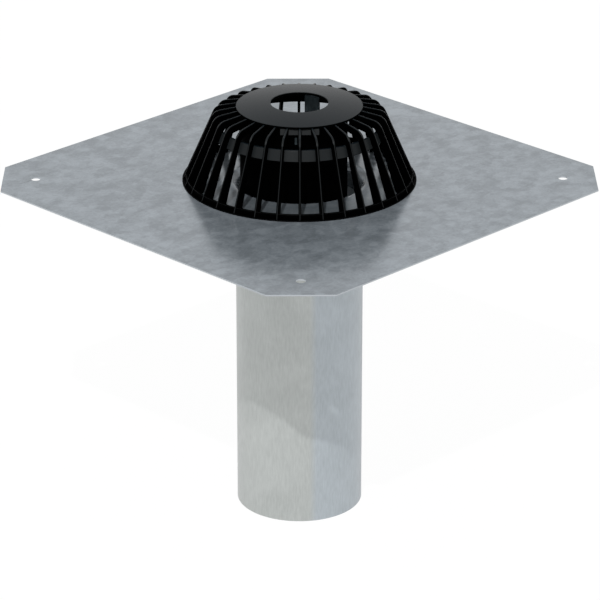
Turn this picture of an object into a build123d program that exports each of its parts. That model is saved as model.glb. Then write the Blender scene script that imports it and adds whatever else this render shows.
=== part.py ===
from build123d import *
import os
from math import sqrt

os.makedirs("parts", exist_ok=True)

# Flat roof drain: a square sheet-metal flange with a drawn mouth, an outlet pipe
# welded under it, and a moulded leaf guard that plugs into the mouth from above.
# Millimetres, +Z up. The origin is the middle of the flange, on its underside.

# Flange plate
flange_side = 400
flange_corner_cut = 40
sheet_thickness = 1.2
fixing_hole_diameter = 8
fixing_hole_inset = 40
mouth_bend_radius = 7.5
neck_length = 12

# Outlet pipe
pipe_diameter = 110
pipe_wall = 1.0
outlet_drop = 300
neck_clearance = 0.1

# Weld bead between the pipe's upper end and the drawn mouth, dressed flush with the pipe
weld_height = 1.2

# Leaf guard: base ring, fins, tie ring and top disc
guard_diameter = 201
foot_lip_thickness = 0.8
base_ring_inset = 2.9
base_ring_height = 5.5
base_ring_wall = 2

fin_count = 32
fin_thickness = 2.5
fin_foot_inset = 0.5
fin_foot_depth = 11.5
fin_shoulder_height = 61.7
fin_shoulder_inset = 26.7
fin_shoulder_round = 10
fin_top_step = 1.2
fin_corner_inset = 5
fin_corner_drop = 6

tie_ring_bottom = 43.5
tie_ring_height = 9.1
tie_ring_recess = 6
tie_ring_wall = 2.4

disc_overhang = 2.7
disc_hole_diameter = 49.2
disc_edge_height = 66.9
disc_crown = 2.8
disc_wall = 2.2

# Leaf guard: the broad leg and the spring tongue that reach down into the outlet
leg_clearance = 1.4
leg_wall = 2
leg_reach = 45
leg_direction = -150
leg_angle = 135
leg_corner_round = 12
tongue_direction = 32
tongue_angle = 15
tongue_corner_round = 4

# Leaf guard: the catch and the nib on the outside of the broad leg
catch_direction = -135
catch_width = 33
catch_drop = 4.9
catch_top_depth = 0.6
catch_bottom_depth = 2.9
nib_offset = -3.2
nib_width = 2.3
nib_top_height = 57.3
nib_length = 6.5
nib_depth = 1.7

# Sizes that follow from the ones above
pipe_outer_radius = pipe_diameter / 2
pipe_inner_radius = pipe_outer_radius - pipe_wall
neck_outer_radius = pipe_inner_radius - neck_clearance
neck_inner_radius = neck_outer_radius - sheet_thickness
mouth_edge_radius = neck_inner_radius + mouth_bend_radius
bend_centre_z = sheet_thickness - mouth_bend_radius
under_bend_radius = mouth_bend_radius - sheet_thickness
neck_end_z = bend_centre_z - neck_length


def underside_z(radius):
    """Height of the plate's underside above a given radius within the drawn bend."""
    return bend_centre_z + sqrt(under_bend_radius**2 - (mouth_edge_radius - radius) ** 2)


pipe_top_z = underside_z(pipe_inner_radius) - weld_height
pipe_end_z = -outlet_drop

# The guard stands on the upper face of the plate
guard_z = sheet_thickness
guard_radius = guard_diameter / 2
base_ring_radius = guard_radius - base_ring_inset
disc_hole_radius = disc_hole_diameter / 2
disc_edge_z = guard_z + disc_edge_height
disc_underside_z = disc_edge_z - disc_wall
leg_outer_radius = neck_inner_radius - leg_clearance
leg_inner_radius = leg_outer_radius - leg_wall
leg_middle_radius = (leg_outer_radius + leg_inner_radius) / 2
disc_radius = leg_outer_radius + disc_overhang
leg_top_z = disc_edge_z - disc_wall / 2

leg_end_z = guard_z - leg_reach

# Fin outline: a sloping outer edge from the foot to the shoulder, then a flatter top edge
foot_radius = guard_radius - fin_foot_inset
shoulder_radius = foot_radius - fin_shoulder_inset
shoulder_z = guard_z + fin_shoulder_height
corner_radius = shoulder_radius - fin_corner_inset
corner_z = shoulder_z - fin_corner_drop
top_edge_rise = (disc_edge_z - fin_top_step - shoulder_z) / (shoulder_radius - disc_radius)
fin_end_top_z = shoulder_z + top_edge_rise * (shoulder_radius - leg_middle_radius)
fin_end_bottom_z = corner_z + top_edge_rise * (corner_radius - leg_middle_radius)


def fin_edge_radius(height):
    """Radius of the fins' sloping outer edge at a height above the plate."""
    return foot_radius - fin_shoulder_inset * height / fin_shoulder_height


tie_bottom_z = guard_z + tie_ring_bottom
tie_top_z = tie_bottom_z + tie_ring_height
tie_bottom_radius = fin_edge_radius(tie_ring_bottom) - tie_ring_recess
tie_top_radius = fin_edge_radius(tie_ring_bottom + tie_ring_height) - tie_ring_recess


# Flange plate: clipped square sheet, four fixing holes, mouth drawn down into a neck
with BuildPart() as flange_plate:
    with BuildSketch() as blank:
        Rectangle(flange_side, flange_side)
        chamfer(blank.vertices(), flange_corner_cut)
        hole_spacing = flange_side - 2 * fixing_hole_inset
        with GridLocations(hole_spacing, hole_spacing, 2, 2):
            Circle(fixing_hole_diameter / 2, mode=Mode.SUBTRACT)
        Circle(mouth_edge_radius, mode=Mode.SUBTRACT)
    extrude(amount=sheet_thickness)
    with BuildSketch(Plane.XZ) as mouth_section:
        with BuildLine():
            upper_bend = RadiusArc(
                (mouth_edge_radius, sheet_thickness),
                (neck_inner_radius, bend_centre_z),
                -mouth_bend_radius,
            )
            neck_line = Polyline(
                upper_bend @ 1,
                (neck_inner_radius, neck_end_z),
                (neck_outer_radius, neck_end_z),
                (neck_outer_radius, bend_centre_z),
            )
            lower_bend = RadiusArc(neck_line @ 1, (mouth_edge_radius, 0), under_bend_radius)
            Line(lower_bend @ 1, upper_bend @ 0)
        make_face()
    revolve(axis=Axis.Z)

# Outlet pipe: plain tube over the neck, open at its lower end
with BuildPart() as outlet_pipe:
    with BuildSketch(Plane.XY.offset(pipe_end_z)):
        Circle(pipe_outer_radius)
        Circle(pipe_inner_radius, mode=Mode.SUBTRACT)
    extrude(amount=pipe_top_z - pipe_end_z)

# Weld bead: fills the notch between the pipe's end and the underside of the bend
with BuildPart() as weld_bead:
    with BuildSketch(Plane.XZ):
        with BuildLine():
            Polyline(
                (pipe_inner_radius, underside_z(pipe_inner_radius)),
                (pipe_inner_radius, pipe_top_z),
                (pipe_outer_radius, pipe_top_z),
                (pipe_outer_radius, underside_z(pipe_outer_radius)),
                close=True,
            )
        make_face()
    revolve(axis=Axis.Z)

# One fin: a bent strip, deep at its foot and joined to the tie ring at its waist
with BuildPart() as fin:
    with BuildSketch(Plane.XZ) as fin_outline:
        with BuildLine():
            Polyline(
                (foot_radius - fin_foot_depth, guard_z),
                (foot_radius, guard_z),
                (shoulder_radius, shoulder_z),
                (leg_middle_radius, fin_end_top_z),
                (leg_middle_radius, fin_end_bottom_z),
                (corner_radius, corner_z),
                (tie_top_radius - tie_ring_wall / 2, tie_top_z),
                (tie_bottom_radius - tie_ring_wall / 2, tie_bottom_z),
                close=True,
            )
        make_face()
        shoulder = fin_outline.vertices().sort_by_distance((shoulder_radius, shoulder_z))[0]
        fillet(shoulder, fin_shoulder_round)
    extrude(amount=fin_thickness / 2, both=True)

# Broad leg: part of a round wall, with its two lower corners rounded
with BuildPart() as broad_leg:
    with BuildSketch(Plane.XZ.rotated((0, 0, leg_direction - leg_angle / 2))):
        with Locations((leg_middle_radius, (leg_top_z + leg_end_z) / 2)):
            Rectangle(leg_wall, leg_top_z - leg_end_z)
    revolve(axis=Axis.Z, revolution_arc=leg_angle)
    fillet(broad_leg.edges().filter_by(GeomType.LINE).group_by(Axis.Z)[0], leg_corner_round)

# Spring tongue: a narrow strip of the same round wall, across from the leg
with BuildPart() as spring_tongue:
    with BuildSketch(Plane.XZ.rotated((0, 0, tongue_direction - tongue_angle / 2))):
        with Locations((leg_middle_radius, (leg_top_z + leg_end_z) / 2)):
            Rectangle(leg_wall, leg_top_z - leg_end_z)
    revolve(axis=Axis.Z, revolution_arc=tongue_angle)
    fillet(spring_tongue.edges().filter_by(GeomType.LINE).group_by(Axis.Z)[0], tongue_corner_round)

# Catch: a flat ramp under the disc, and below it a small wedge-shaped nib
with BuildPart() as catch:
    catch_bottom_z = disc_underside_z - catch_drop
    catch_root_radius = sqrt(leg_inner_radius**2 - (catch_width / 2) ** 2)
    with BuildSketch(Plane.XZ):
        with BuildLine():
            Polyline(
                (catch_root_radius, leg_top_z),
                (leg_outer_radius + catch_top_depth, leg_top_z),
                (leg_outer_radius + catch_top_depth, disc_underside_z),
                (leg_outer_radius + catch_bottom_depth, catch_bottom_z),
                (catch_root_radius, catch_bottom_z),
                close=True,
            )
        make_face()
    extrude(amount=catch_width / 2, both=True)
    with BuildSketch(Plane.XZ.offset(-nib_offset)):
        with BuildLine():
            nib_top_z = guard_z + nib_top_height
            Polyline(
                (leg_inner_radius, nib_top_z),
                (leg_outer_radius, nib_top_z),
                (leg_outer_radius + nib_depth, nib_top_z - nib_length),
                (leg_inner_radius, nib_top_z - nib_length),
                close=True,
            )
        make_face()
    extrude(amount=nib_width / 2, both=True)
    Cylinder(leg_inner_radius, 2 * leg_top_z, mode=Mode.SUBTRACT)

# Leaf guard: one moulding of disc, fins, rings, leg, tongue and catch
with BuildPart() as leaf_guard:
    with BuildSketch(Plane.XZ):
        with BuildLine():
            Polyline(
                (disc_hole_radius, disc_edge_z + disc_crown),
                (disc_radius, disc_edge_z),
                (disc_radius, disc_underside_z),
                (disc_hole_radius, disc_underside_z + disc_crown),
                close=True,
            )
        make_face()
    revolve(axis=Axis.Z)

    with BuildSketch(Plane.XZ):
        with BuildLine():
            Polyline(
                (base_ring_radius - base_ring_wall, guard_z),
                (guard_radius, guard_z),
                (guard_radius, guard_z + foot_lip_thickness),
                (base_ring_radius, guard_z + foot_lip_thickness),
                (base_ring_radius, guard_z + base_ring_height),
                (base_ring_radius - base_ring_wall, guard_z + base_ring_height),
                close=True,
            )
        make_face()
    revolve(axis=Axis.Z)

    with BuildSketch(Plane.XZ):
        with BuildLine():
            Polyline(
                (tie_bottom_radius, tie_bottom_z),
                (tie_top_radius, tie_top_z),
                (tie_top_radius - tie_ring_wall, tie_top_z),
                (tie_bottom_radius - tie_ring_wall, tie_bottom_z),
                close=True,
            )
        make_face()
    revolve(axis=Axis.Z)

    with PolarLocations(0, fin_count):
        add(fin.part)
    add(broad_leg.part)
    add(spring_tongue.part)
    with PolarLocations(0, 1, catch_direction):
        add(catch.part)

flange_plate.part.label = "flange_plate"
outlet_pipe.part.label = "outlet_pipe"
weld_bead.part.label = "weld_bead"
leaf_guard.part.label = "leaf_guard"

export_step(flange_plate.part, "parts/flange_plate.step")
export_step(outlet_pipe.part, "parts/outlet_pipe.step")
export_step(weld_bead.part, "parts/weld_bead.step")
export_step(leaf_guard.part, "parts/leaf_guard.step")
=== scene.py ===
# Flat roof drain: galvanised flange and pipe with a black finned leaf guard.
# The scene is in metres, +Z up. The flange's underside lies at z = 0 and the pipe hangs below it.
# Looks and the studio are in metres, pieces and the camera in millimetres, and angles in degrees.
import math
import bmesh
import bpy
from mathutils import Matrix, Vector


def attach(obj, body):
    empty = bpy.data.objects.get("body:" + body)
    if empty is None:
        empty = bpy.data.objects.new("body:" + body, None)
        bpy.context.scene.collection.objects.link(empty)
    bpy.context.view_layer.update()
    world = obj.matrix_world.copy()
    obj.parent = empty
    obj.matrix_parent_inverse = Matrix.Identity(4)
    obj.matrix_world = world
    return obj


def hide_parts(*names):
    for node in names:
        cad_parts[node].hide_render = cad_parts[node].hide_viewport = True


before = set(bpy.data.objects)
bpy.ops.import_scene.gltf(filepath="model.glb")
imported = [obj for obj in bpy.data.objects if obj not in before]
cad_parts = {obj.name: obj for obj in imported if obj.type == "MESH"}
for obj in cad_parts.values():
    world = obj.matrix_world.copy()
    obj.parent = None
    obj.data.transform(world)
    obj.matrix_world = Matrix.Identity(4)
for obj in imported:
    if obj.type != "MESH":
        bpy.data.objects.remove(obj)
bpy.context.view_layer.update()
scene = bpy.context.scene
mm = 0.001
sameSpot = 1e-6  # points nearer than this are one
print("stage: frame loaded with nodes", sorted(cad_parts))


# Small helpers for outlines and meshes

def roundOutline(corners, steps):
    # corners are (x, y, radius) in order; a radius above 0 rounds that corner
    points = []
    count = len(corners)
    for i in range(count):
        here = Vector(corners[i][:2])
        radius = corners[i][2]
        before = Vector(corners[i - 1][:2])
        after = Vector(corners[(i + 1) % count][:2])
        if radius <= 0:
            points.append(here)
            continue
        toBefore = (before - here).normalized()
        toAfter = (after - here).normalized()
        half = toBefore.angle(toAfter) / 2
        reach = radius / math.tan(half)
        centre = here + (toBefore + toAfter).normalized() * (radius / math.sin(half))
        start = here + toBefore * reach - centre
        end = here + toAfter * reach - centre
        turn = start.angle_signed(end)  # clockwise is positive in mathutils
        for step in range(steps + 1):
            angle = -turn * step / steps
            cosine, sine = math.cos(angle), math.sin(angle)
            spoke = Vector((start.x * cosine - start.y * sine, start.x * sine + start.y * cosine))
            points.append(centre + spoke)
    return points


def arcPoints(centre, radius, fromDegrees, toDegrees, steps):
    points = []
    for i in range(steps + 1):
        angle = math.radians(fromDegrees + (toDegrees - fromDegrees) * i / steps)
        points.append(Vector((centre[0] + radius * math.cos(angle), centre[1] + radius * math.sin(angle))))
    return points


def meshFrom(name, vertices, faces):
    mesh = bpy.data.meshes.new(name)
    mesh.from_pydata([tuple(v) for v in vertices], [], faces)
    mesh.validate()
    return mesh


def latheMesh(name, outline, segments, closed=True):
    # turns an outline of (radius, height) in millimetres round the Z axis
    vertices = []
    for s in range(segments):
        angle = 2 * math.pi * s / segments
        for p in outline:
            vertices.append((p[0] * math.cos(angle) * mm, p[0] * math.sin(angle) * mm, p[1] * mm))
    count = len(outline)
    faces = []
    for s in range(segments):
        for i in range(count if closed else count - 1):
            a = s * count + i
            b = s * count + (i + 1) % count
            c = ((s + 1) % segments) * count + (i + 1) % count
            d = ((s + 1) % segments) * count + i
            faces.append((a, d, c, b))
    return meshFrom(name, vertices, faces)


def joinMeshes(name, meshes, mergeDistance=0.0):
    bm = bmesh.new()
    for mesh in meshes:
        bm.from_mesh(mesh)
    if mergeDistance > 0:
        bmesh.ops.remove_doubles(bm, verts=bm.verts, dist=mergeDistance)
    bmesh.ops.recalc_face_normals(bm, faces=bm.faces)
    joined = bpy.data.meshes.new(name)
    bm.to_mesh(joined)
    bm.free()
    return joined


def placeObject(name, mesh):
    piece = bpy.data.objects.new(name, mesh)
    scene.collection.objects.link(piece)
    return piece


def evaluatedMesh(piece):
    depsgraph = bpy.context.evaluated_depsgraph_get()
    return bpy.data.meshes.new_from_object(piece.evaluated_get(depsgraph))


def bakeModifiers(piece):
    # turns the evaluated piece into a plain mesh and removes its modifiers
    bpy.context.view_layer.update()
    plain = evaluatedMesh(piece)
    piece.modifiers.clear()
    piece.data = plain


def bevelPiece(piece, width, segments, angle):
    bevel = piece.modifiers.new("edgeRound", "BEVEL")
    bevel.width = width
    bevel.segments = segments
    bevel.limit_method = "ANGLE"
    bevel.angle_limit = math.radians(angle)
    bevel.use_clamp_overlap = True
    bakeModifiers(piece)


def shadeSmooth(piece, sharpDegrees):
    piece.data.polygons.foreach_set("use_smooth", [True] * len(piece.data.polygons))
    piece.data.set_sharp_from_angle(angle=math.radians(sharpDegrees))


def weighNormals(piece):
    # large faces keep their own direction and the roundings take up the turn
    weigh = piece.modifiers.new("faceWeight", "WEIGHTED_NORMAL")
    weigh.mode = "FACE_AREA"
    weigh.weight = 100
    weigh.keep_sharp = True
    bakeModifiers(piece)


def finishPiece(piece, material, nodeName):
    piece.data.materials.clear()
    piece.data.materials.append(material)
    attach(piece, "root")
    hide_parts(nodeName)
    return piece


# Node helpers for materials

def newMaterial(name):
    material = bpy.data.materials.new(name)
    material.use_nodes = True
    tree = material.node_tree
    tree.nodes.clear()
    output = tree.nodes.new("ShaderNodeOutputMaterial")
    shader = tree.nodes.new("ShaderNodeBsdfPrincipled")
    tree.links.new(shader.outputs["BSDF"], output.inputs["Surface"])
    return material, tree, shader


def mathNode(tree, operation, *values, clamp=False):
    # a value is a number or the socket that gives one
    node = tree.nodes.new("ShaderNodeMath")
    node.operation = operation
    node.use_clamp = clamp
    for i, value in enumerate(values):
        if isinstance(value, (int, float)):
            node.inputs[i].default_value = value
        else:
            tree.links.new(value, node.inputs[i])
    return node.outputs[0]


def vectorNode(tree, operation, *values):
    # a value is a fixed vector or the socket that gives one
    node = tree.nodes.new("ShaderNodeVectorMath")
    node.operation = operation
    for i, value in enumerate(values):
        if isinstance(value, tuple):
            node.inputs[i].default_value = value
        else:
            tree.links.new(value, node.inputs[i])
    return node


def noiseNode(tree, vector, scale, detail):
    node = tree.nodes.new("ShaderNodeTexNoise")
    node.inputs["Detail"].default_value = detail
    tree.links.new(vector, node.inputs["Vector"])
    if isinstance(scale, float):
        node.inputs["Scale"].default_value = scale
    else:
        tree.links.new(scale, node.inputs["Scale"])
    return node


def mixValues(tree, share, first, second):
    mix = tree.nodes.new("ShaderNodeMix")
    mix.data_type = "FLOAT"
    if isinstance(share, float):
        mix.inputs[0].default_value = share
    else:
        tree.links.new(share, mix.inputs[0])
    tree.links.new(first, mix.inputs[2])
    tree.links.new(second, mix.inputs[3])
    return mix.outputs[0]


def rampNode(tree, factor, stops):
    node = tree.nodes.new("ShaderNodeValToRGB")
    ramp = node.color_ramp
    while len(ramp.elements) < len(stops):
        ramp.elements.new(0.5)  # anywhere, since each stop gets its place below
    for element, (position, colour) in zip(ramp.elements, stops):
        element.position = position
        element.color = (*colour, 1)
    tree.links.new(factor, node.inputs["Fac"])
    return node.outputs["Color"]


# Shared effect: the frosted patches of hot-dip zinc

zincPattern = {
    "wanderScale": 160.0,
    "wanderReach": 0.008,  # how far the patches' borders stray
    "patchSoftness": 0.8,
    "cloudRoughness": 0.66,
    "cloudDistortion": 0.6,
}

# the group's inputs, and the name of each in a look
zincInputs = {
    "Patch Scale": "patchScale",
    "Cloud Scale": "cloudScale",
    "Speck Scale": "speckScale",
    "Patch Share": "patchShare",
    "Speck Share": "speckShare",
}


def buildZincPatches():
    z = zincPattern
    group = bpy.data.node_groups.new("zincPatches", "ShaderNodeTree")
    face = group.interface
    face.new_socket("Vector", in_out="INPUT", socket_type="NodeSocketVector")
    for name in zincInputs:
        face.new_socket(name, in_out="INPUT", socket_type="NodeSocketFloat")
    face.new_socket("Tone", in_out="OUTPUT", socket_type="NodeSocketFloat")
    face.new_socket("Height", in_out="OUTPUT", socket_type="NodeSocketFloat")
    nodes, links = group.nodes, group.links
    given = nodes.new("NodeGroupInput").outputs
    result = nodes.new("NodeGroupOutput").inputs

    wander = noiseNode(group, given["Vector"], z["wanderScale"], detail=2)
    reach = (z["wanderReach"],) * 3
    wandered = vectorNode(group, "MULTIPLY_ADD", wander.outputs["Color"], reach, given["Vector"]).outputs[0]
    patches = nodes.new("ShaderNodeTexVoronoi")
    patches.feature = "SMOOTH_F1"
    patches.inputs["Smoothness"].default_value = z["patchSoftness"]
    links.new(wandered, patches.inputs["Vector"])
    links.new(given["Patch Scale"], patches.inputs["Scale"])
    patchTone = nodes.new("ShaderNodeSeparateColor")
    links.new(patches.outputs["Color"], patchTone.inputs[0])

    clouds = noiseNode(group, given["Vector"], given["Cloud Scale"], detail=7)
    clouds.inputs["Roughness"].default_value = z["cloudRoughness"]
    clouds.inputs["Distortion"].default_value = z["cloudDistortion"]
    specks = noiseNode(group, wandered, given["Speck Scale"], detail=3)

    tone = mixValues(group, given["Patch Share"], clouds.outputs["Fac"], patchTone.outputs[0])
    tone = mixValues(group, given["Speck Share"], tone, specks.outputs["Fac"])
    links.new(tone, result["Tone"])
    links.new(clouds.outputs["Fac"], result["Height"])
    return group


def addZinc(tree, look):
    # the shared pattern with one look's own values
    node = tree.nodes.new("ShaderNodeGroup")
    node.node_tree = zincPatches
    coordinates = tree.nodes.new("ShaderNodeTexCoord")
    mapping = tree.nodes.new("ShaderNodeMapping")
    mapping.inputs["Scale"].default_value = look["patternStretch"]
    tree.links.new(coordinates.outputs["Object"], mapping.inputs["Vector"])
    tree.links.new(mapping.outputs["Vector"], node.inputs["Vector"])
    for name, key in zincInputs.items():
        node.inputs[name].default_value = look[key]
    return node


def faceUp(tree, bothSides=False):
    # 1 on a face that looks straight up, 0 on an upright one
    coordinates = tree.nodes.new("ShaderNodeTexCoord")
    parts = tree.nodes.new("ShaderNodeSeparateXYZ")
    tree.links.new(coordinates.outputs["Normal"], parts.inputs[0])
    if bothSides:
        return mathNode(tree, "ABSOLUTE", parts.outputs["Z"])
    return parts.outputs["Z"]


def distanceFromAxis(tree):
    coordinates = tree.nodes.new("ShaderNodeTexCoord")
    flat = vectorNode(tree, "MULTIPLY", coordinates.outputs["Object"], (1, 1, 0))
    return vectorNode(tree, "LENGTH", flat.outputs[0]).outputs["Value"]


def mixTones(tree, share, first, second, blend="MIX"):
    mix = tree.nodes.new("ShaderNodeMix")
    mix.data_type = "RGBA"
    mix.blend_type = blend
    tree.links.new(share, mix.inputs[0])
    for socket, tone in ((mix.inputs[6], first), (mix.inputs[7], second)):
        if isinstance(tone, tuple):
            socket.default_value = (*tone, 1)
        else:
            tree.links.new(tone, socket)
    return mix.outputs[2]


zincPatches = buildZincPatches()

flangeLook = {
    "darkTone": (0.184, 0.21, 0.234),
    "lightTone": (0.292, 0.329, 0.362),
    "toneRange": (0.375, 0.625),  # the pattern's values that give the two tones
    # the lighter edge tone is partly a painted highlight, the light line the cut edge catches, and partly
    # the bare metal of the cut
    "cutEdgeLightTone": (0.46, 0.49, 0.52),
    "edgeLooksUp": 0.5,  # a face that looks up or down less than this is an edge
    "edgeFrom": 0.1,  # and it has to be this far from the axis
    "underGuardShadeTone": (0.1, 0.118, 0.128),  # painted shade: the sheet is darker under the guard, inside this radius
    "underGuardShadeRadius": 0.096,
    "underGuardShadeShare": 0.42,
    "patchScale": 120.0,
    "cloudScale": 55.0,
    "speckScale": 380.0,
    "patchShare": 0.28,
    "speckShare": 0.3,
    "patternStretch": (0.88, 1.0, 1.0),
    "metallic": 0.35,
    "roughness": 0.2,
    "roughnessSpread": 0.12,
    "bump": 0.03,
    "bumpDepth": 0.0005,
}


def makeFlangeZinc():
    look = flangeLook
    material, tree, shader = newMaterial("flangeZinc")
    zinc = addZinc(tree, look)
    darkAt, lightAt = look["toneRange"]
    colour = rampNode(tree, zinc.outputs["Tone"], [(darkAt, look["darkTone"]), (lightAt, look["lightTone"])])
    # painted highlight: cut edges far from the axis get a lighter tone for the light line they catch, partly
    # the bare metal of the cut
    cutEdge = mathNode(tree, "LESS_THAN", faceUp(tree, bothSides=True), look["edgeLooksUp"])
    farOut = mathNode(tree, "GREATER_THAN", distanceFromAxis(tree), look["edgeFrom"])
    toned = mixTones(tree, mathNode(tree, "MULTIPLY", cutEdge, farOut), colour, look["cutEdgeLightTone"])
    # painted shade: the sheet is darker inside the guard's radius, where the guard keeps light off
    underGuard = mathNode(tree, "LESS_THAN", distanceFromAxis(tree), look["underGuardShadeRadius"])
    toned = mixTones(tree, mathNode(tree, "MULTIPLY", underGuard, look["underGuardShadeShare"]), toned, look["underGuardShadeTone"])
    tree.links.new(toned, shader.inputs["Base Color"])
    spread = look["roughnessSpread"]
    rough = mathNode(tree, "MULTIPLY_ADD", zinc.outputs["Tone"], spread, look["roughness"] - spread / 2)
    tree.links.new(rough, shader.inputs["Roughness"])
    shader.inputs["Metallic"].default_value = look["metallic"]
    bump = tree.nodes.new("ShaderNodeBump")
    bump.inputs["Strength"].default_value = look["bump"]
    bump.inputs["Distance"].default_value = look["bumpDepth"]
    tree.links.new(zinc.outputs["Height"], bump.inputs["Height"])
    tree.links.new(bump.outputs["Normal"], shader.inputs["Normal"])
    return material


pipeLook = {
    "darkTone": (0.425, 0.446, 0.436),
    "lightTone": (0.555, 0.58, 0.567),
    "toneRange": (0.3, 0.7),
    "coolTint": (0.93, 0.975, 1.06),
    "tintTurn": -122.7,  # degrees from +X, where the cooler half begins
    "tintBlend": 0.003,  # half the width over which the tint comes in
    "patchScale": 40.0,
    "cloudScale": 14.0,
    "speckScale": 400.0,
    "patchShare": 0.3,
    "speckShare": 0.1,
    "patternStretch": (1.0, 1.0, 1.0),
    "streakAcross": 700.0,
    "streakAlong": 120.0,
    "streakShare": 0.5,
    "metallic": 0.45,
    "roughness": 0.42,
}


def makePipeZinc():
    look = pipeLook
    material, tree, shader = newMaterial("pipeZinc")
    zinc = addZinc(tree, look)
    coordinates = tree.nodes.new("ShaderNodeTexCoord")
    stretch = tree.nodes.new("ShaderNodeMapping")
    stretch.inputs["Scale"].default_value = (look["streakAcross"], look["streakAcross"], look["streakAlong"])
    tree.links.new(coordinates.outputs["Object"], stretch.inputs["Vector"])
    streaks = noiseNode(tree, stretch.outputs["Vector"], 1.0, detail=3)
    tone = mixValues(tree, look["streakShare"], zinc.outputs["Tone"], streaks.outputs["Fac"])
    darkAt, lightAt = look["toneRange"]
    colour = rampNode(tree, tone, [(darkAt, look["darkTone"]), (lightAt, look["lightTone"])])

    # the rolled sheet is a little cooler on one side of the tube
    turn = math.radians(look["tintTurn"])
    sideways = (-math.sin(turn), math.cos(turn), 0)
    across = vectorNode(tree, "DOT_PRODUCT", coordinates.outputs["Object"], sideways)
    coolShare = tree.nodes.new("ShaderNodeMapRange")
    coolShare.inputs["From Min"].default_value = -look["tintBlend"]
    coolShare.inputs["From Max"].default_value = look["tintBlend"]
    tree.links.new(across.outputs["Value"], coolShare.inputs["Value"])
    tinted = mixTones(tree, coolShare.outputs[0], colour, look["coolTint"], blend="MULTIPLY")
    tree.links.new(tinted, shader.inputs["Base Color"])
    shader.inputs["Metallic"].default_value = look["metallic"]
    shader.inputs["Roughness"].default_value = look["roughness"]
    return material


plasticLook = {
    # how far a face looks up, then its tone, its shine and its roughness; the lighter tone on faces that
    # look up is painted light from above, and upright faces keep the plastic's near-black
    "faces": (
        (0.368, (0.0004, 0.00045, 0.0005), 0.003, 0.36),
        (0.393, (0.0128, 0.015, 0.016), 0.1, 0.36),
        (0.7, (0.0128, 0.015, 0.016), 0.1, 0.36),
        (0.95, (0.006, 0.0095, 0.0122), 0.058, 0.2),
    ),
    "footHeight": 0.008,  # below this height only sloping faces show the painted highlight line
    "footSlope": 0.6,  # and they look up less than this
    "sidewaysLimit": 0.62,  # the flanks of the fins get none of the painted light and stay dark
    # painted reflection and glint: a mottled grey on the tongue and the nib
    "sheenTone": (0.24, 0.31, 0.34),
    "sheenMottleScale": 160.0,
    "sheenFacing": 0.94,  # how squarely a face looks towards or from the axis there
    # the strip that springs back gets a painted grey reflection towards the axis, and the nib a painted
    # glint outwards:
    # direction in degrees, side, half its width, reach from and to, height from and to, share
    "sheenPlaces": (
        (32.0, -1, 0.0075, (0.046, 0.0505), (-0.05, 0.07), 1.0),
        (-135.0, 1, 0.0045, (0.0515, 0.0545), (0.05, 0.0588), 0.3),
    ),
}


def upwardLitShare(tree, coordinates, height):
    # share of painted light from above: how far a face looks up, but 0 on the fins' flanks and on flat faces
    # at the foot
    look = plasticLook
    upward = faceUp(tree)
    aboveFoot = mathNode(tree, "GREATER_THAN", height, look["footHeight"])
    onSlope = mathNode(tree, "LESS_THAN", upward, look["footSlope"])
    upward = mathNode(tree, "MULTIPLY", upward, mathNode(tree, "MAXIMUM", aboveFoot, onSlope))
    cross = vectorNode(tree, "CROSS_PRODUCT", coordinates.outputs["Object"], coordinates.outputs["Normal"])
    crossParts = tree.nodes.new("ShaderNodeSeparateXYZ")
    tree.links.new(cross.outputs["Vector"], crossParts.inputs[0])
    sideways = mathNode(tree, "ABSOLUTE", crossParts.outputs["Z"])
    sideways = mathNode(tree, "DIVIDE", sideways, distanceFromAxis(tree))
    return mathNode(tree, "MULTIPLY", upward, mathNode(tree, "LESS_THAN", sideways, look["sidewaysLimit"]))


# painted sheen: share of the painted reflection on the tongue and the painted glint on the nib
def paintedSheenShare(tree, coordinates, height):
    look = plasticLook
    sheen = 0.0
    for direction, side, halfWidth, reachRange, heightRange, share in look["sheenPlaces"]:
        turn = math.radians(direction)
        towards = (math.cos(turn), math.sin(turn), 0)
        across = (-math.sin(turn), math.cos(turn), 0)
        reach, aside, facing = (
            vectorNode(tree, "DOT_PRODUCT", coordinates.outputs[source], axis).outputs["Value"]
            for source, axis in (("Object", towards), ("Object", across), ("Normal", towards)))
        limits = (
            ("GREATER_THAN", reach, reachRange[0]),
            ("LESS_THAN", reach, reachRange[1]),
            ("GREATER_THAN", height, heightRange[0]),
            ("LESS_THAN", height, heightRange[1]),
            ("LESS_THAN", mathNode(tree, "ABSOLUTE", aside), halfWidth),
            ("GREATER_THAN", mathNode(tree, "MULTIPLY", facing, side), look["sheenFacing"]),
        )
        here = share
        for operation, value, limit in limits:
            here = mathNode(tree, "MULTIPLY", mathNode(tree, operation, value, limit), here)
        sheen = mathNode(tree, "MAXIMUM", here, sheen)
    sheenMottle = noiseNode(tree, coordinates.outputs["Object"], look["sheenMottleScale"], detail=3)
    return mathNode(tree, "MULTIPLY", sheen, sheenMottle.outputs["Fac"])


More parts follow.
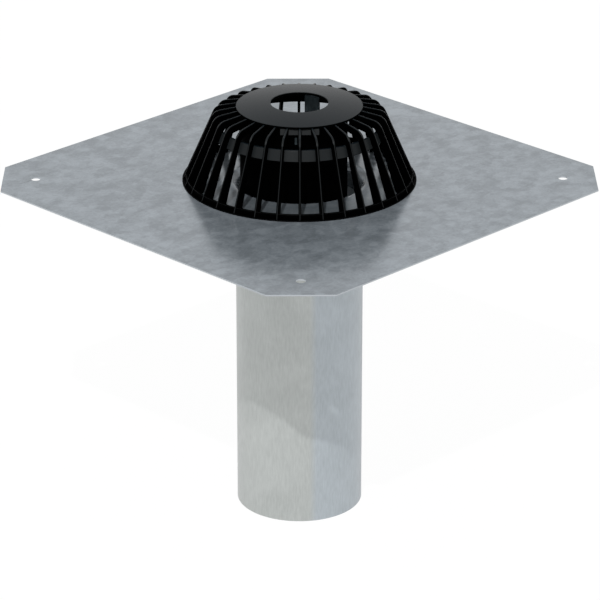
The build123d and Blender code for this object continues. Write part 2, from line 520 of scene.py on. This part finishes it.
def makeGuardPlastic():
    look = plasticLook
    material, tree, shader = newMaterial("guardPlastic")
    coordinates = tree.nodes.new("ShaderNodeTexCoord")
    place = tree.nodes.new("ShaderNodeSeparateXYZ")
    tree.links.new(coordinates.outputs["Object"], place.inputs[0])
    height = place.outputs["Z"]
    upward = upwardLitShare(tree, coordinates, height)
    # painted light: tone, shine and roughness follow how far a face looks up, lighter where light from above
    # would fall
    tone = rampNode(tree, upward, [(limit, colour) for limit, colour, _, _ in look["faces"]])
    shine = rampNode(tree, upward, [(limit, (amount,) * 3) for limit, _, amount, _ in look["faces"]])
    roughness = rampNode(tree, upward, [(limit, (amount,) * 3) for limit, _, _, amount in look["faces"]])
    # painted reflection and glint mixed in on the tongue and the nib
    toned = mixTones(tree, paintedSheenShare(tree, coordinates, height), tone, look["sheenTone"])
    tree.links.new(toned, shader.inputs["Base Color"])
    tree.links.new(shine, shader.inputs["Specular IOR Level"])
    tree.links.new(roughness, shader.inputs["Roughness"])
    return material


flangeZinc = makeFlangeZinc()
pipeZinc = makePipeZinc()
guardPlastic = makeGuardPlastic()
print("stage: materials made")


# Flange: one sheet with clipped corners, four holes and a drawn mouth

flange = {
    "side": 400.0,
    "cornerCut": 40.0,
    "sheet": 1.2,
    "holeDiameter": 8.0,
    "holeInset": 40.0,
    "holeSegments": 48,
    "neckInner": 52.7,
    "bendRadius": 7.5,
    "neckLength": 12.0,
    "bendSteps": 16,
    "mouthSegments": 256,
    "edgeRound": 0.12,
}


def circlePoints(radius, segments):
    return arcPoints((0, 0), radius, 0, 360 - 360 / segments, segments - 1)


def flatSheetMesh(outlines, thickness):
    # fills the first outline, leaves the others open and gives it a thickness, centred on z = 0
    curve = bpy.data.curves.new("flangeOutline", "CURVE")
    curve.dimensions = "2D"
    curve.fill_mode = "BOTH"
    curve.extrude = thickness / 2 * mm
    for outline in outlines:
        spline = curve.splines.new("POLY")
        spline.points.add(len(outline) - 1)
        for point, (x, y) in zip(spline.points, outline):
            point.co = (x * mm, y * mm, 0, 1)
        spline.use_cyclic_u = True
    holder = placeObject("flangeOutline", curve)
    flat = evaluatedMesh(holder)
    bpy.data.objects.remove(holder)
    return flat


def buildFlange():
    f = flange
    half = f["side"] / 2
    cut = half - f["cornerCut"]
    mouth = f["neckInner"] + f["bendRadius"]
    outlines = [[(half, -cut), (half, cut), (cut, half), (-cut, half),
                 (-half, cut), (-half, -cut), (-cut, -half), (cut, -half)]]
    hole = circlePoints(f["holeDiameter"] / 2, f["holeSegments"])
    reach = half - f["holeInset"]
    for x in (-reach, reach):
        for y in (-reach, reach):
            outlines.append([(x + p.x, y + p.y) for p in hole])
    outlines.append([tuple(p) for p in circlePoints(mouth, f["mouthSegments"])])

    # the sheet's wall at the mouth goes, because the bend takes its place
    bm = bmesh.new()
    bm.from_mesh(flatSheetMesh(outlines, f["sheet"]))
    bmesh.ops.remove_doubles(bm, verts=bm.verts, dist=sameSpot)
    for vertex in bm.verts:
        vertex.co.z += f["sheet"] / 2 * mm
    onMouth = set(v for v in bm.verts if abs(v.co.xy.length - mouth * mm) < 10 * sameSpot)
    walls = [face for face in bm.faces if all(v in onMouth for v in face.verts) and abs(face.normal.z) < 0.5]
    bmesh.ops.delete(bm, geom=walls, context="FACES")
    flatMesh = bpy.data.meshes.new("flangeFlat")
    bm.to_mesh(flatMesh)
    bm.free()

    centre = (mouth, f["sheet"] - f["bendRadius"])
    neckEnd = centre[1] - f["neckLength"]
    outline = arcPoints(centre, f["bendRadius"], 90, 180, f["bendSteps"])
    outline.append(Vector((f["neckInner"], neckEnd)))
    outline.append(Vector((f["neckInner"] + f["sheet"], neckEnd)))
    outline += arcPoints(centre, f["bendRadius"] - f["sheet"], 180, 90, f["bendSteps"])
    neck = latheMesh("flangeNeck", outline, f["mouthSegments"], closed=False)
    piece = placeObject("flangeSheet", joinMeshes("flangeSheet", [flatMesh, neck], 2 * sameSpot))
    bevelPiece(piece, f["edgeRound"] * mm, segments=2, angle=60)
    shadeSmooth(piece, sharpDegrees=30)
    for polygon in piece.data.polygons:
        if abs(polygon.normal.z) > 0.9999:
            polygon.use_smooth = False  # long flat triangles stay even
    return finishPiece(piece, flangeZinc, "flange_plate")


flangeSheet = buildFlange()
print("stage: flange made,", len(flangeSheet.data.polygons), "faces")


# Outlet pipe and its seam

pipe = {
    "outer": 55.0,
    "inner": 54.0,
    "top": -6.382,
    "bottom": -300.0,
    "edgeRound": 0.3,
    "segments": 256,
}

seam = {
    "top": -2.743,
    "innerTop": -5.182,
    "ripples": 180,
    "stepsPerRipple": 4,
    "rippleDepth": 0.1,
}


def buildPipe():
    p = pipe
    outline = roundOutline([
        (p["inner"], p["bottom"], p["edgeRound"]),
        (p["outer"], p["bottom"], p["edgeRound"]),
        (p["outer"], p["top"], 0),
        (p["inner"], p["top"], 0),
    ], steps=3)
    mesh = latheMesh("outletPipe", outline, p["segments"])
    piece = placeObject("outletPipe", joinMeshes("outletPipe", [mesh]))
    shadeSmooth(piece, sharpDegrees=40)
    return finishPiece(piece, pipeZinc, "outlet_pipe")


def buildSeam():
    s = seam
    outline = [
        (pipe["inner"], pipe["top"]),
        (pipe["outer"], pipe["top"]),
        (pipe["outer"], (pipe["top"] + s["top"]) / 2),
        (pipe["outer"], s["top"]),
        (pipe["inner"], s["innerTop"]),
    ]
    rippled = 2  # the third point lies half-way up the outside and swells
    segments = s["ripples"] * s["stepsPerRipple"]
    mesh = latheMesh("pipeSeam", outline, segments)
    for i, vertex in enumerate(mesh.vertices):
        if i % len(outline) == rippled:
            angle = 2 * math.pi * (i // len(outline)) / segments
            swell = 1 + abs(math.sin(angle * s["ripples"] / 2)) * s["rippleDepth"] / pipe["outer"]
            vertex.co.x *= swell
            vertex.co.y *= swell
    piece = placeObject("pipeSeam", joinMeshes("pipeSeam", [mesh]))
    shadeSmooth(piece, sharpDegrees=50)
    return finishPiece(piece, pipeZinc, "weld_bead")


outletPipe = buildPipe()
pipeSeam = buildSeam()
print("stage: pipe and seam made")


# Leaf guard: one moulding of fins, rings, disc, leg, tongue and catch

guard = {
    "floor": 1.2,
    "radius": 100.0,
    "finCount": 32,
    "finThickness": 2.5,
    "finFootDepth": 11.5,
    "shoulder": (73.3, 61.7),
    "shoulderRound": 10.0,
    "finEndRadius": 50.3,
    "finEndTop": 66.467,
    "finEndBottom": 59.43,
    "innerCorner": (68.3, 55.7),
    "innerCornerRound": 4.0,
    "finEdgeRound": 1.2,
    "softEdge": 0.3,  # the slight rounding of rings, walls, catch and nib
    "baseRingRadius": 97.6,
    "baseRingWall": 2.0,
    "baseRingHeight": 5.5,
    "baseRingRound": 0.4,
    "lipRadius": 100.5,
    "lipThickness": 0.8,
    "tieBottom": (75.176, 43.5),
    "tieTop": (71.238, 52.6),
    "tieWall": 2.4,
    "tieRound": 0.8,
    "discRadius": 54.0,
    "discHoleRadius": 24.6,
    "discEdgeHeight": 66.9,
    "discCrown": 2.8,
    "discCrownBulge": 0.25,
    "discWall": 2.2,
    "discRound": 0.15,
    "discHoleRound": 0.5,
    "discSteps": 14,  # over the slightly domed top
    "legOuter": 51.3,
    "legWall": 2.0,
    "legTop": 65.8,
    "legBottom": -45.0,
    "legDirection": -150.0,
    "legAngle": 135.0,
    "legRound": 12.0,
    "tongueDirection": 32.0,
    "tongueAngle": 15.0,
    "tongueRound": 4.0,
    "cornerSteps": 8,  # round each lower corner of the leg and the tongue
    "wallStep": 2.5,  # along the rest of them
    "catchDirection": -135.0,
    "catchWidth": 33.0,
    "catchTop": 64.7,
    "catchBottom": 59.8,
    "catchCap": 0.8,  # how far the catch reaches up into the disc
    "catchRoot": 1.0,
    "catchTopDepth": 0.6,
    "catchBottomDepth": 2.9,
    "nibOffset": -3.2,
    "nibWidth": 2.3,
    "nibTop": 57.3,
    "nibLength": 6.5,
    "nibDepth": 1.7,
    "nibRoot": 1.0,  # how far the nib reaches into the leg
    "ringSegments": 256,
}


def liftPoints(points):
    return [Vector((p[0], p[1] + guard["floor"])) for p in points]


def buildFinRingTree():
    tree = bpy.data.node_groups.new("finRing", "GeometryNodeTree")
    face = tree.interface
    face.new_socket("Geometry", in_out="INPUT", socket_type="NodeSocketGeometry")
    face.new_socket("Fin Count", in_out="INPUT", socket_type="NodeSocketInt")
    face.new_socket("Fin Thickness", in_out="INPUT", socket_type="NodeSocketFloat")
    face.new_socket("First Angle", in_out="INPUT", socket_type="NodeSocketFloat")
    face.new_socket("Finish", in_out="INPUT", socket_type="NodeSocketMaterial")
    face.new_socket("Geometry", in_out="OUTPUT", socket_type="NodeSocketGeometry")
    nodes, links = tree.nodes, tree.links
    given = nodes.new("NodeGroupInput")
    result = nodes.new("NodeGroupOutput")

    # the flat outline moves back by half its thickness and is then extruded by all of it
    halfBack = mathNode(tree, "MULTIPLY", given.outputs["Fin Thickness"], -0.5)
    backVector = nodes.new("ShaderNodeCombineXYZ")
    links.new(halfBack, backVector.inputs["Y"])
    moved = nodes.new("GeometryNodeSetPosition")
    links.new(given.outputs["Geometry"], moved.inputs["Geometry"])
    links.new(backVector.outputs[0], moved.inputs["Offset"])
    extruded = nodes.new("GeometryNodeExtrudeMesh")
    extruded.mode = "FACES"
    extruded.inputs["Individual"].default_value = False
    across = nodes.new("ShaderNodeCombineXYZ")
    across.inputs["Y"].default_value = 1
    links.new(moved.outputs["Geometry"], extruded.inputs["Mesh"])
    links.new(across.outputs[0], extruded.inputs["Offset"])
    links.new(given.outputs["Fin Thickness"], extruded.inputs["Offset Scale"])
    backFace = nodes.new("GeometryNodeFlipFaces")
    links.new(moved.outputs["Geometry"], backFace.inputs["Mesh"])
    joined = nodes.new("GeometryNodeJoinGeometry")
    links.new(extruded.outputs["Mesh"], joined.inputs[0])
    links.new(backFace.outputs["Mesh"], joined.inputs[0])
    merged = nodes.new("GeometryNodeMergeByDistance")
    merged.inputs["Distance"].default_value = sameSpot
    links.new(joined.outputs[0], merged.inputs["Geometry"])

    points = nodes.new("GeometryNodePoints")
    links.new(given.outputs["Fin Count"], points.inputs["Count"])
    order = nodes.new("GeometryNodeInputIndex")
    pitch = mathNode(tree, "DIVIDE", 2 * math.pi, given.outputs["Fin Count"])
    turned = mathNode(tree, "MULTIPLY", order.outputs[0], pitch)
    turned = mathNode(tree, "ADD", turned, given.outputs["First Angle"])
    euler = nodes.new("ShaderNodeCombineXYZ")
    links.new(turned, euler.inputs["Z"])
    rotation = nodes.new("FunctionNodeEulerToRotation")
    links.new(euler.outputs[0], rotation.inputs[0])
    instances = nodes.new("GeometryNodeInstanceOnPoints")
    links.new(points.outputs[0], instances.inputs["Points"])
    links.new(merged.outputs[0], instances.inputs["Instance"])
    links.new(rotation.outputs[0], instances.inputs["Rotation"])
    realized = nodes.new("GeometryNodeRealizeInstances")
    links.new(instances.outputs[0], realized.inputs[0])
    painted = nodes.new("GeometryNodeSetMaterial")
    links.new(realized.outputs[0], painted.inputs["Geometry"])
    links.new(given.outputs["Finish"], painted.inputs["Material"])
    links.new(painted.outputs[0], result.inputs[0])
    return tree


def buildFins():
    g = guard
    tieBottomInner = g["tieBottom"][0] - g["tieWall"] / 2
    tieTopInner = g["tieTop"][0] - g["tieWall"] / 2
    outline = liftPoints(roundOutline([
        (g["radius"] - g["finFootDepth"], 0, 0),
        (g["radius"], 0, 0),
        (*g["shoulder"], g["shoulderRound"]),
        (g["finEndRadius"], g["finEndTop"], 0),
        (g["finEndRadius"], g["finEndBottom"], 0),
        (*g["innerCorner"], g["innerCornerRound"]),
        (tieTopInner, g["tieTop"][1], 0),
        (tieBottomInner, g["tieBottom"][1], 0),
    ], steps=8))
    vertices = [(p.x * mm, 0, p.y * mm) for p in outline]
    mesh = meshFrom("guardFins", vertices, [tuple(range(len(vertices)))])
    if mesh.polygons[0].normal.y < 0:
        mesh.flip_normals()
    piece = placeObject("guardFins", mesh)
    ring = piece.modifiers.new("finRing", "NODES")
    ring.node_group = buildFinRingTree()
    values = {
        "Fin Count": g["finCount"],
        "Fin Thickness": g["finThickness"] * mm,
        "First Angle": 0.0,
        "Finish": guardPlastic,
    }
    for item in ring.node_group.interface.items_tree:
        if item.in_out == "INPUT" and item.name in values:
            ring[item.identifier] = values[item.name]
    bakeModifiers(piece)
    bevelPiece(piece, g["finEdgeRound"] * mm, segments=4, angle=50)
    return piece


def buildGuardRings():
    g = guard
    soft = g["softEdge"]
    ringInner = g["baseRingRadius"] - g["baseRingWall"]
    base = roundOutline([
        (ringInner, 0, 0),
        (g["lipRadius"], 0, 0),
        (g["lipRadius"], g["lipThickness"], soft),
        (g["baseRingRadius"], g["lipThickness"], 0),
        (g["baseRingRadius"], g["baseRingHeight"], g["baseRingRound"]),
        (ringInner, g["baseRingHeight"], soft),
    ], steps=3)
    tie = roundOutline([
        (*g["tieBottom"], soft),
        (*g["tieTop"], g["tieRound"]),
        (g["tieTop"][0] - g["tieWall"], g["tieTop"][1], soft),
        (g["tieBottom"][0] - g["tieWall"], g["tieBottom"][1], soft),
    ], steps=4)
    edge, hole = g["discRadius"], g["discHoleRadius"]
    top, rise = g["discEdgeHeight"], g["discCrown"]
    crown = []
    for i in range(1, g["discSteps"]):
        share = i / g["discSteps"]
        bulge = 4 * g["discCrownBulge"] * share * (1 - share)
        crown.append((edge + (hole - edge) * share, top + rise * share + bulge, 0))
    disc = roundOutline([
        (edge, top - g["discWall"], soft),
        (edge, top, g["discRound"]),
        *crown,
        (hole, top + rise, g["discHoleRound"]),
        (hole, top + rise - g["discWall"], soft),
    ], steps=4)
    return [latheMesh(name, liftPoints(points), g["ringSegments"])
            for name, points in (("baseRing", base), ("tieRing", tie), ("topDisc", disc))]


def bevelledMesh(name, vertices, faces, bevelAngle):
    piece = placeObject(name, joinMeshes(name, [meshFrom(name, vertices, faces)]))
    bevelPiece(piece, guard["softEdge"] * mm, segments=2, angle=bevelAngle)
    mesh = piece.data
    bpy.data.objects.remove(piece)
    return mesh


def wallPanel(name, direction, angle, cornerRound):
    # part of a round wall; its lower corners follow a quarter circle
    g = guard
    outer = g["legOuter"]
    inner = outer - g["legWall"]
    middle = (outer + inner) / 2
    half = math.radians(angle) / 2
    length = half * middle

    # how far each column stands from the first one, with close steps where the corners turn
    steps = g["cornerSteps"]
    columns = [cornerRound * (1 - math.cos(math.pi / 2 * i / steps)) for i in range(steps + 1)]
    reach = length - cornerRound
    plainSteps = max(2, int(reach / g["wallStep"]))
    columns += [cornerRound + reach * (i + 1) / plainSteps for i in range(plainSteps)]
    columns += [2 * length - column for column in reversed(columns[:-1])]

    high = (g["legTop"] + g["floor"]) * mm
    vertices, faces = [], []
    for column in columns:
        nearEnd = min(column, 2 * length - column)
        lift = 0.0
        if nearEnd < cornerRound:
            lift = cornerRound - math.sqrt(max(0.0, cornerRound ** 2 - (cornerRound - nearEnd) ** 2))
        turn = math.radians(direction) - half + column / middle
        low = (g["legBottom"] + lift + g["floor"]) * mm
        for radius, height in ((outer, low), (outer, high), (inner, high), (inner, low)):
            vertices.append((radius * math.cos(turn) * mm, radius * math.sin(turn) * mm, height))
    for i in range(len(columns) - 1):
        for k in range(4):
            a, b = i * 4 + k, i * 4 + (k + 1) % 4
            faces.append((a, b, b + 4, a + 4))
    faces.append((3, 2, 1, 0))
    faces.append(tuple(range((len(columns) - 1) * 4, len(columns) * 4)))
    return bevelledMesh(name, vertices, faces, bevelAngle=50)


def prism(name, outline, width, offset, direction):
    # a flat outline of (radius, height) given a width, then turned to its direction
    turn = math.radians(direction)
    vertices = []
    for side in (-0.5, 0.5):
        for p in liftPoints(outline):
            x, y = p.x, offset + side * width
            vertices.append(((x * math.cos(turn) - y * math.sin(turn)) * mm,
                             (x * math.sin(turn) + y * math.cos(turn)) * mm, p.y * mm))
    count = len(outline)
    faces = [tuple(range(count)), tuple(reversed(range(count, 2 * count)))]
    for i in range(count):
        j = (i + 1) % count
        faces.append((i, i + count, j + count, j))
    return bevelledMesh(name, vertices, faces, bevelAngle=30)


def buildCatch():
    g = guard
    outer = g["legOuter"]
    root = math.sqrt((outer - g["legWall"]) ** 2 - (g["catchWidth"] / 2) ** 2) + g["catchRoot"]
    outline = [
        (root, g["catchTop"] + g["catchCap"]),
        (outer + g["catchTopDepth"], g["catchTop"] + g["catchCap"]),
        (outer + g["catchTopDepth"], g["catchTop"]),
        (outer + g["catchBottomDepth"], g["catchBottom"]),
        (root, g["catchBottom"]),
    ]
    return prism("catch", outline, g["catchWidth"], 0, g["catchDirection"])


def buildNib():
    g = guard
    outer = g["legOuter"]
    bottom = g["nibTop"] - g["nibLength"]
    outline = [
        (outer - g["nibRoot"], g["nibTop"]),
        (outer, g["nibTop"]),
        (outer + g["nibDepth"], bottom),
        (outer - g["nibRoot"], bottom),
    ]
    return prism("nib", outline, g["nibWidth"], g["nibOffset"], g["catchDirection"])


def buildGuard():
    g = guard
    fins = buildFins()
    meshes = [fins.data, *buildGuardRings()]
    meshes.append(wallPanel("broadLeg", g["legDirection"], g["legAngle"], g["legRound"]))
    meshes.append(wallPanel("springTongue", g["tongueDirection"], g["tongueAngle"], g["tongueRound"]))
    meshes += [buildCatch(), buildNib()]
    piece = placeObject("leafGuard", joinMeshes("leafGuard", meshes))
    bpy.data.objects.remove(fins)
    shadeSmooth(piece, sharpDegrees=35)
    weighNormals(piece)
    return finishPiece(piece, guardPlastic, "leaf_guard")


leafGuard = buildGuard()
print("stage: leaf guard made,", len(leafGuard.data.polygons), "faces")


# Studio: a pale floor and one lamp, with all the rest white to the camera and in reflections

studio = {
    "worldStrength": 0.55,
    "floorTone": 0.86,
    "floorRoughness": 0.9,
    "floorWhite": 0.95,  # how much of the floor is plain white to the camera and in reflections
    "floorGlow": 1.02,
    "floorHalf": 6.0,
    "lampAzimuth": -144.3,  # degrees from +X
    "lampElevation": 46.6,
    "lampDistance": 12.0,
    "lampAim": -0.05,
    "lampSize": 0.16,
    "lampWatts": 740.0,
}


def whiteToTheEye(tree):
    # 1 for rays from the camera, from gloss and through glass, else 0
    path = tree.nodes.new("ShaderNodeLightPath")
    seen = mathNode(tree, "ADD", path.outputs["Is Camera Ray"], path.outputs["Is Glossy Ray"], clamp=True)
    return mathNode(tree, "ADD", seen, path.outputs["Is Transmission Ray"], clamp=True)


def buildWorld():
    world = bpy.data.worlds.new("studioWorld")
    scene.world = world
    world.use_nodes = True
    tree = world.node_tree
    tree.nodes.clear()
    output = tree.nodes.new("ShaderNodeOutputWorld")
    background = tree.nodes.new("ShaderNodeBackground")
    background.inputs["Color"].default_value = (1, 1, 1, 1)
    plain = studio["worldStrength"]
    strength = mathNode(tree, "MULTIPLY_ADD", whiteToTheEye(tree), 1 - plain, plain)
    tree.links.new(strength, background.inputs["Strength"])
    tree.links.new(background.outputs[0], output.inputs["Surface"])


def buildFloor():
    s = studio
    half = s["floorHalf"]
    low = pipe["bottom"] * mm
    corners = [(-half, -half, low), (half, -half, low), (half, half, low), (-half, half, low)]
    floor = placeObject("studioFloor", meshFrom("studioFloor", corners, [(0, 1, 2, 3)]))
    material, tree, shader = newMaterial("floorPaper")
    shader.inputs["Base Color"].default_value = (s["floorTone"],) * 3 + (1,)
    shader.inputs["Roughness"].default_value = s["floorRoughness"]
    shader.inputs["Specular IOR Level"].default_value = 0.0
    output = next(n for n in tree.nodes if n.type == "OUTPUT_MATERIAL")
    glow = tree.nodes.new("ShaderNodeEmission")
    glow.inputs["Strength"].default_value = s["floorGlow"]
    blend = tree.nodes.new("ShaderNodeMixShader")
    share = mathNode(tree, "MULTIPLY", whiteToTheEye(tree), s["floorWhite"])
    tree.links.new(share, blend.inputs[0])
    tree.links.new(shader.outputs[0], blend.inputs[1])
    tree.links.new(glow.outputs[0], blend.inputs[2])
    tree.links.new(blend.outputs[0], output.inputs["Surface"])
    floor.data.materials.append(material)


def placeLamp():
    s = studio
    light = bpy.data.lights.new("keyLamp", "AREA")
    light.shape = "SQUARE"
    light.size = s["lampSize"]
    light.energy = s["lampWatts"]
    lamp = placeObject("keyLamp", light)
    a, e = math.radians(s["lampAzimuth"]), math.radians(s["lampElevation"])
    away = Vector((math.cos(a) * math.cos(e), math.sin(a) * math.cos(e), math.sin(e)))
    lamp.location = Vector((0, 0, s["lampAim"])) + away * s["lampDistance"]
    lamp.rotation_euler = away.to_track_quat("Z", "Y").to_euler()


buildWorld()
buildFloor()
placeLamp()
scene.view_settings.view_transform = "Standard"
print("stage: studio set")


# Camera, fitted to the flange's corners, its holes and the pipe

view = {
    "lookAzimuth": 44.717,  # degrees from +X, the way the camera looks
    "elevation": 23.193,
    "distance": 3119.06,
    "aside": 0.496,
    "aimHeight": -112.256,
    "lens": 214.895,
    "sensor": 36.0,
    "nearest": 50.0,
    "farthest": 100000.0,
}


def placeCamera():
    v = view
    look = math.radians(v["lookAzimuth"])
    lift = math.radians(v["elevation"])
    ahead = Vector((math.cos(look), math.sin(look), 0))
    right = Vector((math.sin(look), -math.cos(look), 0))
    aim = right * v["aside"] * mm + Vector((0, 0, v["aimHeight"] * mm))
    back = -ahead * math.cos(lift) + Vector((0, 0, math.sin(lift)))
    data = bpy.data.cameras.new("photoCamera")
    data.sensor_width = v["sensor"]
    data.lens = v["lens"]
    data.clip_start = v["nearest"] * mm
    data.clip_end = v["farthest"] * mm
    camera = placeObject("photoCamera", data)
    camera.location = aim + back * v["distance"] * mm
    camera.rotation_mode = "QUATERNION"
    camera.rotation_quaternion = (-back).to_track_quat("-Z", "Y")
    scene.camera = camera


placeCamera()
bpy.context.view_layer.update()
